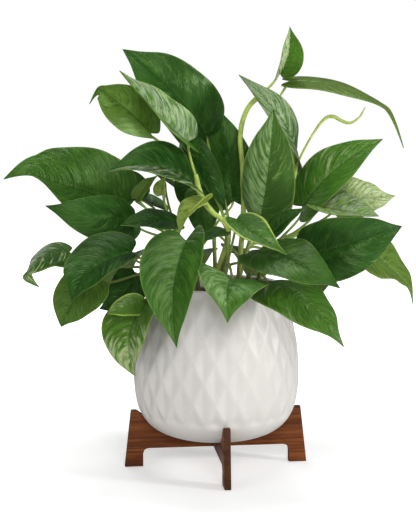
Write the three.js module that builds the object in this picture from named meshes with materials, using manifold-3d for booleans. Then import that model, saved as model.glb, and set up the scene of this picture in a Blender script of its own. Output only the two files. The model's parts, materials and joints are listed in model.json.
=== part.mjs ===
// A potted pothos: a white pot with a relief of diamonds stands on two crossed wooden boards,
// soil fills it, and leafy stems stand in holes in the soil.
// Millimetres, +Z up. The origin is on the floor, under the middle of the pot; the front is -Y.
import * as THREE from 'three';
import { mergeVertices } from 'three/addons/utils/BufferGeometryUtils.js';
import Module from 'manifold-3d';

// ---------------------------------------------------------------- driving dimensions
const GAP = 0.3; // between pieces that touch

// Pot
const POT_COLUMNS = 48; // 24 diamonds round the pot, two columns of points each
const POT_TURN = -1.3; // degrees: where the first column stands, seen from above
const POT_HEIGHT = 170; // rim, above the floor
const POT_WALL = 5;
const FLOOR_THICKNESS = 7;
const FLOOR_ROUNDING = 20; // the hollow's floor is this much narrower than its lowest wall
const RELIEF_FIRST_ROW = 54; // height of the lowest row of diamond points
const RELIEF_ROW_STEP = 18.2;
const RELIEF_ROWS = 7;
const RELIEF_DEPTH = 2.4; // the middle of each diamond lies this far in
// The side as two Bezier curves, each point [radius, height]
const POT_BOWL = [[24, 27], [50, 32], [76.5, 34], [76, 86]];
const POT_SHOULDER = [[76, 86], [76, 112], [72.5, 138], [59, POT_HEIGHT]];
const BOWL_STEPS = [0, 0.15, 0.3, 0.42, 0.56, 0.68]; // plain rows below the diamonds, along the curve

// Stand
const STAND_TURN = 6.65; // degrees
const BOARD_THICKNESS = 6;
const BOARD_HEIGHT = 53;
const FOOT_OUTER = 85; // from the middle to the foot's outer end
const FOOT_INNER = 68;
const ARM_OUTER = 79; // from the middle to the arm's outer end
const ARM_INNER = 74;
const RAIL_BOTTOM = 17;
const RAIL_TOP = 23;
const RAIL_FLAT = 12; // half the length of the rail's flat top
const RAIL_BEND = 10; // how far past the flat top the rail's curve turns up
const LEG_FILLET = 6;
const CURVE_SEGMENTS = 4; // per bend of a board's outline
const SEAT_STEPS = [0.3, 0.42, 0.56, 0.68]; // where the board follows the pot's bowl
const SEAT_END = [34, 26.5]; // where it leaves the bowl, towards the rail

// Soil
const SOIL_TOP = 157;
const SOIL_BUMP = 1.6;
const SOIL_RINGS = [14, 30, 45];
const SOIL_COLUMNS = 24; // every second column of the pot
const SOIL_SEED = 7;

// Stems and leaves
const HOLE_DEPTH = 32;
const HOLE_CLEARANCE = 0.4;
const STEM_RADIUS = 2.4;
const STEM_SIDES = 6;
const PETIOLE_RADIUS = 1.4;
const PETIOLE_SIDES = 5;
const PETIOLE_STEPS = 4;
const PETIOLE_RISE = 0.3; // how long it follows the stem's direction, as part of its span
const PETIOLE_DROP = 0.25; // how far below its leaf it comes from, as part of its span
// Where a petiole meets its leaf: place along the midrib, and depth below it
const PETIOLE_ENDS = [[-0.02, 1.5], [0.1, 0.3]];
const TAPER = 0.7; // radius at the end of a stem or petiole, of that at its start
const STEM_NECK = 0.96; // a stem above the soil is this much thinner than its foot
const LAST_NODE = 0.98; // the furthest place along a stem that a petiole leaves from
const TENDRIL_STEPS = 20;
const BLADE_THICKNESS = 0.8;
const SCRAP = 0.02; // detail smaller than this, left where pieces join, is smoothed away
const BLADE_DOME = 0.1; // how far the halves curl back, of half the width
const BLADE_COLUMNS = [-1, -0.55, 0, 0.55, 1];
const HOOK_START = 0.85; // where a drawn-out tip starts to bend
const UNTWISTED_AT = 0.35; // the place along a leaf where its twist is nil
// Outline of a leaf, from the notch at its joint to its tip: [half width, place along, place along
// of the same row on the midrib], as parts of the half width and of the length
const OUTLINE = [
  [0, 0, 0], [0.42, -0.07, 0.03], [0.84, 0.02, 0.12], [1, 0.25, 0.27],
  [0.88, 0.47, 0.46], [0.56, 0.72, 0.71], [0.17, 0.9, 0.9], [0, 1, 1],
];

// ---------------------------------------------------------------- the leafy stems
/**
 * One leaf. `from` says where its petiole leaves the stem, from 0 at the soil to 1 at the stem's end.
 * `joint` and `tip` are the ends of its blade, `face` is the way its upper side looks. The shape holds
 * the midrib's arch and sweep, as parts of its length, and the blade's fold and twist in degrees;
 * `hook` is how far the very tip is bent aside, `full` makes a blade broader towards its tip, and `via`
 * leads a petiole past what is in its way.
 */
const leaf = (from, joint, tip, face, width, shape) => ({ from, joint, tip, face, width, ...shape });

// Each stem stands at `root` in the soil and passes through the points of `stem`.
const VINES = [
  {
    name: 'vine_tall_left',
    root: [4, 8],
    stem: [[6, 6, 180], [11, 2, 205], [12, 1, 222]],
    leaves: [
      leaf(1, [-9, 14, 304], [-83, -16, 380], [4, -8, 2], 66,
        { arch: 0.15, sweep: -0.02, fold: 16, twist: -8, full: 0.35, via: [[9, 0, 239], [2, 3, 262]] }),
      leaf(0.9, [-60, 14, 305.5], [-113.5, 4, 349], [2.6, -8, 4.1], 52,
        { arch: 0.02, sweep: 0.05, fold: 19, twist: -90, hook: [-1, 0, -17],
          via: [[0, 12, 245], [-28, 18, 280]] }),
      leaf(0.8, [-24, 4, 296], [9, -2, 235], [2, -8, 3], 28,
        { arch: 0.04, fold: 30, via: [[4, 10, 240], [-8, 12, 278]] }),
    ],
  },
  {
    name: 'vine_striped_left',
    root: [-3, -8],
    stem: [[2, -14, 185], [10, -20, 214], [7, -21, 227], [-4, -24, 237], [-12, -26, 248], [-19, -27, 270]],
    taper: 0.95,
    leaves: [
      leaf(1, [-25, -27, 299], [-83, -56, 360], [6, -5, 5], 47,
        { arch: 0.04, sweep: -0.1, fold: 34, twist: 5 }),
      leaf(0.86, [-22, -34, 263], [-92, -68, 275], [3, -6, 8], 56, { arch: 0.16, sweep: 0.02, fold: 24 }),
      leaf(0.74, [-9, -42, 247], [-32, -73, 221], [-5, -5, 7], 28, { arch: 0.12, fold: 40 }),
    ],
  },
  {
    name: 'vine_low_left',
    root: [-22, 6],
    stem: [[-26, 6, 182], [-32, 4, 202]],
    leaves: [
      leaf(1, [-83, -2, 242], [-178, -30, 276], [2.7, -8, 5.3], 76,
        { arch: -0.02, sweep: 0.01, fold: 28, twist: 50, hook: [-10, 0, -10], full: 1 }),
      leaf(0.9, [-73, -31, 231], [-148, -59, 245], [3, -8, 1.3], 44,
        { arch: 0.15, sweep: -0.06, fold: -10, twist: -31 }),
      leaf(0.8, [-74, 4, 246], [-87, 6, 275], [2, -8, 3], 34,
        { arch: 0.1, fold: 14, via: [[-44, 6, 220]] }),
      leaf(1, [-72, -6, 247], [-53, -8, 268], [-4, -7, 4], 16,
        { arch: 0.08, fold: 24, via: [[-52, -4, 226]] }),
      leaf(1, [-49, 0, 250], [-46, -8, 267], [-3, -7, 4], 18, { arch: 0.1, fold: 30 }),
    ],
  },
  {
    name: 'vine_far_left',
    root: [-34, -10],
    stem: [[-37, -14, 172], [-46, -22, 184]],
    leaves: [
      leaf(1, [-73, -66, 205], [-121, -102, 168], [-1.8, -8, 11.5], 54,
        { arch: 0.06, sweep: 0.14, fold: 26, twist: -19, full: 0.5 }),
      leaf(0.8, [-132, -18, 200], [-172, -36, 175], [-5.9, -8, 8.8], 34,
        { arch: 0.22, sweep: 0.03, fold: -7, twist: 50, hook: [16, 0, -5], full: 1 }),
      leaf(0.9, [-106, -36, 178], [-138, -36, 135], [-2, -9, 1], 44,
        { arch: 0.14, sweep: 0.06, fold: 18, full: 0.3 }),
      leaf(0.7, [-73, -12, 180], [-106, -16, 148], [3, -9, 2], 36, { arch: 0.12, sweep: -0.1, fold: 16 }),
    ],
  },
  {
    name: 'vine_front_left',
    root: [-16, -26],
    stem: [[-17, -28, 176], [-22, -36, 192]],
    leaves: [
      leaf(1, [-26, -82, 217], [-33, -126, 133], [-3.8, -8, 5], 68,
        { arch: 0.11, sweep: 0.03, fold: 30, twist: -28, full: -0.3, via: [[-24, -60, 214]] }),
      leaf(0.9, [-35, -48, 230], [-82, -74, 229], [2, -4, 9], 36, { arch: 0.06, fold: 10 }),
      leaf(0.7, [-63, -42, 158], [-71, -62, 96], [-8.9, -8, 1.7], 68,
        { arch: 0.18, sweep: 0.03, fold: 16, full: 0.2, via: [[-40, -44, 186], [-58, -44, 180]] }),
      leaf(0.6, [-64, -50, 159], [-94, -69, 152], [4.1, -8, 8.6], 22,
        { arch: 0.07, sweep: 0.02, fold: -1, twist: 26, full: 0.6, via: [[-46, -38, 184]] }),
    ],
  },
  {
    name: 'vine_front',
    root: [6, -30],
    stem: [[7, -34, 176], [10, -42, 194]],
    leaves: [
      leaf(0.9, [15, -85, 183], [8, -150, 158], [2, -4, 9], 66,
        { arch: 0.2, sweep: 0.08, fold: 16, twist: -10 }),
      leaf(1, [17, -68, 234], [56, -92, 208], [1, -6, 8], 35,
        { arch: 0.08, sweep: 0.1, fold: 20, hook: [4, 0, -3] }),
      leaf(0.8, [36, -72, 205], [102, -108, 180], [0, -6, 8], 56,
        { arch: 0.16, sweep: 0.07, fold: 12, twist: 15 }),
      leaf(0.9, [8, -34, 220], [-14, -44, 211], [0, -3, 9], 20, { arch: 0.1, fold: 12 }),
    ],
  },
  {
    name: 'vine_front_right',
    root: [26, -20],
    stem: [[28, -24, 176], [34, -30, 192]],
    leaves: [
      leaf(0.8, [49, -72, 181], [105, -116, 132], [3, -5, 8], 66,
        { arch: 0.16, sweep: 0.06, fold: -6, twist: -10 }),
      leaf(1, [80, -40, 198], [162, -46, 226], [1.4, -8, 0.6], 57,
        { arch: 0.15, sweep: -0.01, fold: 17, twist: 38, full: 0.3 }),
      leaf(0.95, [47, -50, 218], [76, -52, 242], [-2, -6, 8], 24, { arch: 0.06, fold: 24 }),
    ],
  },
  {
    name: 'vine_right',
    root: [36, 2],
    stem: [[40, 0, 178], [48, -6, 198]],
    leaves: [
      leaf(1, [78, -5, 240], [148, -18, 301], [-5, -7, 5], 54,
        { arch: 0.14, sweep: 0.02, fold: 16, twist: 16 }),
      leaf(0.9, [89, -27, 242], [143, -38, 234], [0, -5, 9], 46,
        { arch: 0.05, sweep: 0.06, fold: 26, twist: 12 }),
      leaf(0.9, [114, 8, 247], [163, 4, 249], [0, -8, 11.2], 59,
        { arch: 0.04, sweep: 0.07, fold: 5, twist: -11, full: -0.2 }),
      leaf(0.7, [137, 40, 196], [189, 46, 152], [8.1, -8, 8.5], 57,
        { arch: 0.01, sweep: -0.13, fold: 13, twist: -28, hook: [-1, 0, -9], full: 0.3 }),
    ],
  },
  {
    name: 'vine_tall_right',
    root: [20, 10],
    stem: [[22, 12, 190], [25, 14, 230], [24, 15, 276], [22, 16, 300], [24, 18, 316], [30, 20, 330],
      [41, 22, 341]],
    leaves: [
      leaf(1, [58, 24, 360], [65, -5, 401], [4.8, -8, -2], 34,
        { arch: 0.07, sweep: 0.06, fold: 33, twist: -40, full: -0.2 }),
      leaf(0.55, [68, 22, 353], [164, -8, 319], [11.4, -8, 17.6], 44,
        { arch: 0.08, sweep: -0.06, fold: 2, twist: -12, hook: [4, 0, -26], full: 0.3,
          via: [[44, 28, 300], [54, 28, 330]] }),
      leaf(0.25, [39, -20, 230], [49, -42, 328], [-1.8, -8, 1], 50,
        { arch: 0.04, sweep: 0.03, fold: -12, twist: 54, full: 0.3 }),
      leaf(0.4, [74, 27, 278], [20, -2, 358], [8.5, -8, 5.8], 34,
        { arch: 0.24, sweep: -0.16, fold: 16, twist: -50, full: 0.5 }),
    ],
    // a young leaf, still rolled up
    tendril: {
      from: 0.3,
      path: [[68, 14, 254], [76, 12, 282], [99, 12, 319], [106, 10, 321], [114, 8, 317], [121, 6, 315],
        [129, 4, 320], [134, 0, 329]],
    },
  },
  {
    name: 'vine_back',
    root: [0, 28],
    stem: [[-1, 32, 185], [-2, 38, 215]],
    leaves: [
      leaf(1, [16, 38, 242], [-1, 36, 332], [1, -9, 2], 54, { arch: 0.08, fold: 12 }),
      leaf(0.8, [-13, 24, 254], [-11, 18, 206], [0, -9, 2], 34,
        { arch: 0.08, fold: 10, via: [[-6, 34, 232]] }),
      leaf(0.9, [-20, 32, 263], [-30, 28, 235], [-1, -7, 5], 34,
        { arch: 0.1, fold: 10, via: [[-6, 36, 245]] }),
      leaf(1, [-4, 80, 270], [-20, 118, 342], [-1, 8, 3], 60, { arch: 0.14, fold: 14 }),
      leaf(0.9, [-24, 66, 188], [-32, 134, 138], [-1, 5, 8], 60, { arch: 0.2, fold: 14 }),
      leaf(0.9, [28, 64, 189], [41, 150, 137], [2, 5, 8], 58, { arch: 0.2, fold: 12 }),
    ],
  },
  {
    name: 'vine_back_left',
    root: [-20, 24],
    stem: [[-24, 30, 180], [-32, 40, 200]],
    leaves: [
      leaf(1, [-60, 70, 235], [-140, 115, 235], [-1, 3, 9], 64, { arch: 0.14, fold: 14 }),
      leaf(0.95, [-48, 56, 260], [-98, 84, 272], [-2, 4, 8], 52, { arch: 0.14, fold: 12 }),
      leaf(0.8, [-78, 62, 190], [-104, 102, 132], [-5, 6, 5], 56, { arch: 0.18, fold: 14 }),
    ],
  },
  {
    name: 'vine_back_right',
    root: [20, 28],
    stem: [[25, 34, 182], [32, 42, 204]],
    leaves: [
      leaf(1, [60, 60, 240], [125, 110, 240], [2, 4, 9], 60, { arch: 0.14, fold: 14 }),
      leaf(0.85, [70, 60, 205], [150, 95, 190], [3, 4, 8], 58, { arch: 0.16, fold: 12 }),
      leaf(0.95, [50, 70, 262], [64, 118, 324], [2, 8, 4], 56, { arch: 0.14, fold: 14 }),
      leaf(0.8, [80, 70, 185], [100, 120, 130], [4, 6, 5], 56, { arch: 0.18, fold: 12 }),
    ],
  },
];

// ---------------------------------------------------------------- helpers
const wasm = await Module();
wasm.setup();

const vec = (p) => new THREE.Vector3(p[0], p[1], p[2]);
const radians = THREE.MathUtils.degToRad;

/** A small repeatable source of random numbers between 0 and 1. */
function seeded(seed) {
  let state = seed;
  return () => {
    state = (state * 16807) % 2147483647;
    return state / 2147483647;
  };
}

function geometryOf(points, triangles) {
  const geometry = new THREE.BufferGeometry();
  geometry.setAttribute('position', new THREE.Float32BufferAttribute(points.flatMap((p) => p.toArray()), 3));
  geometry.setIndex(triangles.flat());
  return geometry;
}

/** A closed skin over rings of points that run anticlockwise seen from the last ring. */
function loft(rings, splitOther = () => false) {
  const sides = rings[0].length;
  const points = rings.flat();
  const triangles = [];
  for (let i = 0; i < rings.length - 1; i += 1) {
    for (let j = 0; j < sides; j += 1) {
      const k = (j + 1) % sides;
      const [a, b, c, d] = [i * sides + j, i * sides + k, (i + 1) * sides + k, (i + 1) * sides + j];
      if (splitOther(i, j)) triangles.push([a, b, d], [b, c, d]);
      else triangles.push([a, b, c], [a, c, d]);
    }
  }
  const middle = (ring) => ring.reduce((sum, p) => sum.add(p), new THREE.Vector3()).divideScalar(sides);
  const first = points.push(middle(rings[0])) - 1;
  const last = points.push(middle(rings[rings.length - 1])) - 1;
  const top = (rings.length - 1) * sides;
  for (let j = 0; j < sides; j += 1) {
    const k = (j + 1) % sides;
    triangles.push([first, k, j], [last, top + j, top + k]);
  }
  return geometryOf(points, triangles);
}

function solidOf(geometry) {
  const bare = geometry.clone();
  bare.deleteAttribute('normal');
  bare.deleteAttribute('uv');
  const merged = mergeVertices(bare, 1e-4);
  return new wasm.Manifold(new wasm.Mesh({
    numProp: 3,
    vertProperties: new Float32Array(merged.attributes.position.array),
    triVerts: new Uint32Array(merged.index.array),
  }));
}

function geometryFrom(solid) {
  const mesh = solid.getMesh();
  const geometry = new THREE.BufferGeometry();
  geometry.setAttribute('position', new THREE.BufferAttribute(new Float32Array(mesh.vertProperties), 3));
  geometry.setIndex(new THREE.BufferAttribute(new Uint32Array(mesh.triVerts), 1));
  geometry.computeVertexNormals();
  return geometry;
}

function meshOf(name, geometry, material) {
  const mesh = new THREE.Mesh(geometry, material);
  mesh.name = name;
  return mesh;
}

/** A round rod through points, its radius going evenly from `start` to `end`. */
function rod(points, start, end, sides) {
  const last = points.length - 1;
  const across = new THREE.Vector3(1, 0.2, 0);
  const rings = points.map((point, i) => {
    const ahead = points[Math.min(i + 1, last)].clone().sub(points[Math.max(i - 1, 0)]).normalize();
    across.addScaledVector(ahead, -across.dot(ahead)).normalize();
    const other = new THREE.Vector3().crossVectors(ahead, across);
    const radius = start + ((end - start) * i) / last;
    return Array.from({ length: sides }, (_, j) => {
      const angle = (2 * Math.PI * j) / sides;
      return point.clone()
        .addScaledVector(across, radius * Math.cos(angle))
        .addScaledVector(other, radius * Math.sin(angle));
    });
  });
  return loft(rings);
}

// ---------------------------------------------------------------- pot
const bezier = (points) => new THREE.CubicBezierCurve(...points.map((p) => new THREE.Vector2(...p)));
const bowl = bezier(POT_BOWL);
const shoulder = bezier(POT_SHOULDER);

/** The pot's outer radius at a height. */
function potRadius(height) {
  const curve = height < POT_BOWL[3][1] ? bowl : shoulder;
  let low = 0;
  let high = 1;
  for (let i = 0; i < 30; i += 1) {
    const middle = (low + high) / 2;
    if (curve.getPoint(middle).y < height) low = middle;
    else high = middle;
  }
  return curve.getPoint(low).x;
}

function ringOf(columns, radiusAt, height) {
  return Array.from({ length: columns }, (_, j) => {
    const angle = radians(POT_TURN - 90) + (2 * Math.PI * j) / columns;
    return new THREE.Vector3(Math.cos(angle), Math.sin(angle), 0).multiplyScalar(radiusAt(j)).setZ(height);
  });
}

const potRing = (radiusAt, height) => ringOf(POT_COLUMNS, radiusAt, height);
const soilRing = (radius, height) => ringOf(SOIL_COLUMNS, () => radius, height);
const reliefHeights = Array.from({ length: RELIEF_ROWS }, (_, i) => RELIEF_FIRST_ROW + i * RELIEF_ROW_STEP);
const isMiddle = (row, column) => (row + column) % 2 === 0;

// The hollow: radius and height of its rings, from the rim down to the floor
const RIM_INSET = 1.6;
const hollowHeights = [POT_HEIGHT - RIM_INSET, SOIL_TOP, 120, 82, 50];
const hollowFloor = POT_BOWL[0][1] + FLOOR_THICKNESS;
const hollowRadius = (height) => potRadius(height) - POT_WALL;

function pot() {
  const rings = BOWL_STEPS.map((t) => bowl.getPoint(t)).map((p) => potRing(() => p.x, p.y));
  const firstRelief = rings.length;
  reliefHeights.forEach((height, row) => {
    const radius = potRadius(height);
    rings.push(potRing((j) => radius - (isMiddle(row, j) ? RELIEF_DEPTH : 0), height));
  });
  const rimRadius = potRadius(POT_HEIGHT - RIM_INSET);
  rings.push(potRing(() => rimRadius, POT_HEIGHT - RIM_INSET));
  rings.push(potRing(() => rimRadius - RIM_INSET, POT_HEIGHT));
  rings.push(potRing(() => hollowRadius(hollowHeights[0]) + RIM_INSET, POT_HEIGHT));
  hollowHeights.forEach((height) => rings.push(potRing(() => hollowRadius(height), height)));
  rings.push(potRing(() => hollowRadius(hollowHeights.at(-1)) - FLOOR_ROUNDING, hollowFloor));
  // each quad of the relief is split along the line between its two outer points
  const lastRelief = firstRelief + RELIEF_ROWS - 1;
  const splitOther = (i, j) => i >= firstRelief && i < lastRelief && isMiddle(i - firstRelief, j);
  return loft(rings, splitOther);
}

// ---------------------------------------------------------------- soil
function soil(roots) {
  const random = seeded(SOIL_SEED);
  const bottom = hollowRadius(hollowHeights.at(-1)) - FLOOR_ROUNDING - GAP;
  const rings = [soilRing(bottom, hollowFloor + GAP)];
  const below = hollowHeights.filter((height) => height < SOIL_TOP).reverse();
  below.forEach((height) => rings.push(soilRing(hollowRadius(height) - GAP, height + GAP)));
  const uneven = (radius, rise) => soilRing(radius, SOIL_TOP)
    .map((p) => p.setZ(SOIL_TOP + SOIL_BUMP * (rise - 2 * random())));
  rings.push(uneven(hollowRadius(SOIL_TOP) - GAP, 0));
  [...SOIL_RINGS].reverse().forEach((radius) => rings.push(uneven(radius, 1)));
  const hole = stemHole();
  return roots.reduce((body, [x, y]) => body.subtract(hole.translate([x, y, 0])), solidOf(loft(rings)));
}

/** What is cut out of the soil for a stem, here on the pot's axis. */
function stemHole() {
  const ends = [SOIL_TOP - HOLE_DEPTH, SOIL_TOP + 2 * STEM_RADIUS].map((z) => new THREE.Vector3(0, 0, z));
  const sides = 2 * STEM_SIDES;
  const radius = (STEM_RADIUS + HOLE_CLEARANCE) / Math.cos(Math.PI / sides);
  return solidOf(rod(ends, radius, radius, sides));
}

// ---------------------------------------------------------------- stand
/** The board's edge under one side of the pot, a gap below the bowl, from the inside out. */
function seat() {
  return SEAT_STEPS.map((t) => {
    const slope = bowl.getTangent(t);
    return bowl.getPoint(t).add(new THREE.Vector2(slope.y, -slope.x).multiplyScalar(GAP));
  });
}

/** One board of the stand, its notch open towards the top or the bottom. */
function board(notchOnTop) {
  const notchFloor = (RAIL_BOTTOM + RAIL_TOP) / 2 + (notchOnTop ? -GAP / 2 : GAP / 2);
  const notchHalf = BOARD_THICKNESS / 2 + GAP;
  const notch = (start, edge) => {
    const corners = [[start, edge], [start, notchFloor], [-start, notchFloor], [-start, edge]];
    corners.forEach(([s, z]) => shape.lineTo(s, z));
  };
  const bend = RAIL_FLAT + RAIL_BEND;
  const shape = new THREE.Shape();
  shape.moveTo(-SEAT_END[0], SEAT_END[1]);
  shape.quadraticCurveTo(-bend, RAIL_TOP, -RAIL_FLAT, RAIL_TOP);
  if (notchOnTop) notch(-notchHalf, RAIL_TOP);
  shape.lineTo(RAIL_FLAT, RAIL_TOP);
  shape.quadraticCurveTo(bend, RAIL_TOP, ...SEAT_END);
  seat().forEach((p) => shape.lineTo(p.x, p.y));
  shape.lineTo(ARM_INNER, BOARD_HEIGHT);
  shape.lineTo(ARM_OUTER, BOARD_HEIGHT);
  shape.lineTo(FOOT_OUTER, 0);
  shape.lineTo(FOOT_INNER, 0);
  shape.lineTo(FOOT_INNER, RAIL_BOTTOM - LEG_FILLET);
  shape.quadraticCurveTo(FOOT_INNER, RAIL_BOTTOM, FOOT_INNER - LEG_FILLET, RAIL_BOTTOM);
  if (!notchOnTop) notch(notchHalf, RAIL_BOTTOM);
  shape.lineTo(-FOOT_INNER + LEG_FILLET, RAIL_BOTTOM);
  shape.quadraticCurveTo(-FOOT_INNER, RAIL_BOTTOM, -FOOT_INNER, RAIL_BOTTOM - LEG_FILLET);
  shape.lineTo(-FOOT_INNER, 0);
  shape.lineTo(-FOOT_OUTER, 0);
  shape.lineTo(-ARM_OUTER, BOARD_HEIGHT);
  shape.lineTo(-ARM_INNER, BOARD_HEIGHT);
  seat().reverse().forEach((p) => shape.lineTo(-p.x, p.y));
  const settings = { depth: BOARD_THICKNESS, bevelEnabled: false, curveSegments: CURVE_SEGMENTS };
  const geometry = new THREE.ExtrudeGeometry(shape, settings);
  geometry.translate(0, 0, -BOARD_THICKNESS / 2);
  geometry.rotateX(Math.PI / 2);
  geometry.rotateZ(radians(STAND_TURN + (notchOnTop ? 0 : 90)));
  return geometry;
}

// ---------------------------------------------------------------- leaves
/** How far a place along the leaf is into the bent part of its tip, from 0 to 1. */
const hookShare = (along) => Math.max((along - HOOK_START) / (1 - HOOK_START), 0);

/** Maps points of a flat leaf, across and along, to space. */
class Leaf {
  constructor({
    joint, tip, face, width, arch = 0.08, sweep = 0, fold = 12, twist = 0, hook = [0, 0, 0], full = 0,
  }) {
    this.joint = vec(joint);
    this.length = vec(tip).distanceTo(this.joint);
    this.ahead = vec(tip).sub(this.joint).normalize();
    const look = vec(face);
    this.up = look.addScaledVector(this.ahead, -look.dot(this.ahead)).normalize();
    this.side = new THREE.Vector3().crossVectors(this.ahead, this.up);
    this.halfWidth = width / 2;
    this.arch = arch;
    this.sweep = sweep;
    this.fold = radians(fold);
    this.twist = radians(twist);
    this.hook = vec(hook);
    this.full = full;
  }

  midrib(along) {
    const bulge = 4 * along * (1 - along) * this.length;
    return this.joint.clone().addScaledVector(this.ahead, along * this.length)
      .addScaledVector(this.up, this.arch * bulge)
      .addScaledVector(this.side, this.sweep * bulge)
      .addScaledVector(this.hook, hookShare(along) ** 2);
  }

  /** Directions at a place along the leaf: up out of its face, and to its side. */
  axes(along) {
    const slope = 4 * (1 - 2 * along);
    const ahead = this.ahead.clone().addScaledVector(this.up, slope * this.arch)
      .addScaledVector(this.side, slope * this.sweep)
      .addScaledVector(this.hook, (2 * hookShare(along)) / (1 - HOOK_START) / this.length).normalize();
    const up = this.up.clone().addScaledVector(ahead, -this.up.dot(ahead)).normalize();
    up.applyAxisAngle(ahead, this.twist * (along - UNTWISTED_AT));
    return { up, side: new THREE.Vector3().crossVectors(ahead, up) };
  }

  /** A point of the blade, `height` above its middle layer. */
  point(across, along, height) {
    const { up, side } = this.axes(along);
    const out = Math.abs(across) * this.halfWidth;
    const rise = out * Math.sin(this.fold) - BLADE_DOME * out * Math.abs(across);
    return this.midrib(along)
      .addScaledVector(side, Math.sign(across) * out * Math.cos(this.fold))
      .addScaledVector(up, rise + height);
  }

  /** The blade as a closed skin, both faces split alike. */
  blade() {
    const columns = BLADE_COLUMNS.length;
    const rows = OUTLINE.slice(1, -1);
    const layer = (height) => [
      this.point(0, 0, height),
      ...rows.flatMap(([half, edge, middle]) => BLADE_COLUMNS.map((q) =>
        this.point(q * half * (1 + this.full * middle ** 2),
          middle + (edge - middle) * Math.abs(q), height))),
      this.point(0, 1, height),
    ];
    const points = [...layer(BLADE_THICKNESS / 2), ...layer(-BLADE_THICKNESS / 2)];
    const size = points.length / 2;
    const end = size - 1;
    const at = (row, column) => 1 + row * columns + column;
    const face = [];
    for (let j = 0; j < columns - 1; j += 1) {
      face.push([0, at(0, j + 1), at(0, j)]);
      for (let i = 0; i < rows.length - 1; i += 1) {
        const [a, b, c, d] = [at(i, j), at(i, j + 1), at(i + 1, j + 1), at(i + 1, j)];
        if (j < columns / 2 - 1) face.push([a, b, d], [b, c, d]);
        else face.push([a, b, c], [a, c, d]);
      }
      face.push([end, at(rows.length - 1, j), at(rows.length - 1, j + 1)]);
    }
    const left = rows.map((_, i) => at(i, 0));
    const right = rows.map((_, i) => at(i, columns - 1)).reverse();
    const rim = [0, ...right.reverse(), end, ...left.reverse()];
    const triangles = [...face, ...face.map(([a, b, c]) => [a + size, c + size, b + size])];
    rim.forEach((a, i) => {
      const b = rim[(i + 1) % rim.length];
      triangles.push([b, a, a + size], [b, a + size, b + size]);
    });
    return geometryOf(points, triangles);
  }

  /** Where the petiole joins: just under the joint, then along the underside of the midrib. */
  petioleEnd() {
    const under = ([along, depth]) => this.midrib(along).addScaledVector(this.axes(along).up, -depth);
    return PETIOLE_ENDS.map(under);
  }
}

const curveThrough = (points) => new THREE.CatmullRomCurve3(points, false, 'centripetal');

/** A petiole from the stem to a leaf: it rises with the stem and comes to the leaf from below. */
function petiole(start, stemwards, shape, via) {
  const [end, inside] = shape.petioleEnd();
  const span = start.distanceTo(end);
  const rise = start.clone().addScaledVector(stemwards, span * PETIOLE_RISE);
  const below = end.clone().add(new THREE.Vector3(0, 0, -span * PETIOLE_DROP));
  const points = via
    ? curveThrough([start, ...via.map(vec), end]).getSpacedPoints(PETIOLE_STEPS + 1)
    : new THREE.CubicBezierCurve3(start, rise, below, end).getPoints(PETIOLE_STEPS);
  return rod([...points, inside], PETIOLE_RADIUS, PETIOLE_RADIUS * TAPER, PETIOLE_SIDES);
}

function vine({ root: [x, y], stem, taper = TAPER, leaves, tendril }) {
  const upright = (z) => new THREE.Vector3(x, y, z);
  const foot = [upright(SOIL_TOP - HOLE_DEPTH + HOLE_CLEARANCE), upright(SOIL_TOP + SOIL_BUMP)];
  const path = curveThrough([upright(SOIL_TOP - STEM_RADIUS), ...foot.slice(1), ...stem.map(vec)]);
  const stemPoints = path.getSpacedPoints(2 * stem.length);
  const pieces = [
    rod(foot, STEM_RADIUS, STEM_RADIUS, STEM_SIDES),
    rod(stemPoints, STEM_RADIUS * STEM_NECK, STEM_RADIUS * taper, STEM_SIDES),
  ];
  leaves.forEach((row) => {
    const shape = new Leaf(row);
    const at = Math.min(row.from, LAST_NODE);
    pieces.push(petiole(path.getPointAt(at), path.getTangentAt(at), shape, row.via), shape.blade());
  });
  if (tendril) {
    const line = curveThrough([path.getPointAt(tendril.from), ...tendril.path.map(vec)]);
    pieces.push(rod(line.getSpacedPoints(TENDRIL_STEPS), PETIOLE_RADIUS, PETIOLE_RADIUS / 2, PETIOLE_SIDES));
  }
  return wasm.Manifold.union(pieces.map(solidOf)).simplify(SCRAP);
}

// ---------------------------------------------------------------- materials
const finish = (name, color, roughness) =>
  new THREE.MeshStandardMaterial({ name, color, roughness, metalness: 0 });
const glaze = finish('white glaze', 0xe4e1dc, 0.35);
const walnut = finish('walnut', 0x5a3322, 0.5);
const earth = finish('potting soil', 0x2b2018, 0.95);
const green = finish('leaf green', 0x3a7032, 0.4);

// ---------------------------------------------------------------- the whole thing
const plant = new THREE.Group();
plant.add(meshOf('pot', pot(), glaze));
plant.add(meshOf('soil', geometryFrom(soil(VINES.map((row) => row.root))), earth));
plant.add(meshOf('stand_board_long', board(true), walnut));
plant.add(meshOf('stand_board_cross', board(false), walnut));
VINES.forEach((row) => plant.add(meshOf(row.name, geometryFrom(vine(row)), green)));

export default plant;
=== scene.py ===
# %% [markdown]
# # A pothos in a white diamond pot
# The object is a live pothos in a glazed pot, which rests on a crossed walnut stand. Its exact
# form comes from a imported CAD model, which is loaded as a fixed frame. This lesson builds the
# looks round that frame, piece by piece: pot, stand, soil, and twelve leafy stems.
# Everything is in metres, with +Z up and the viewer on the -Y side.

# %% Load the frame
import json
import random
from math import atan2, cos, degrees, hypot, pi, radians, sin, sqrt

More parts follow.
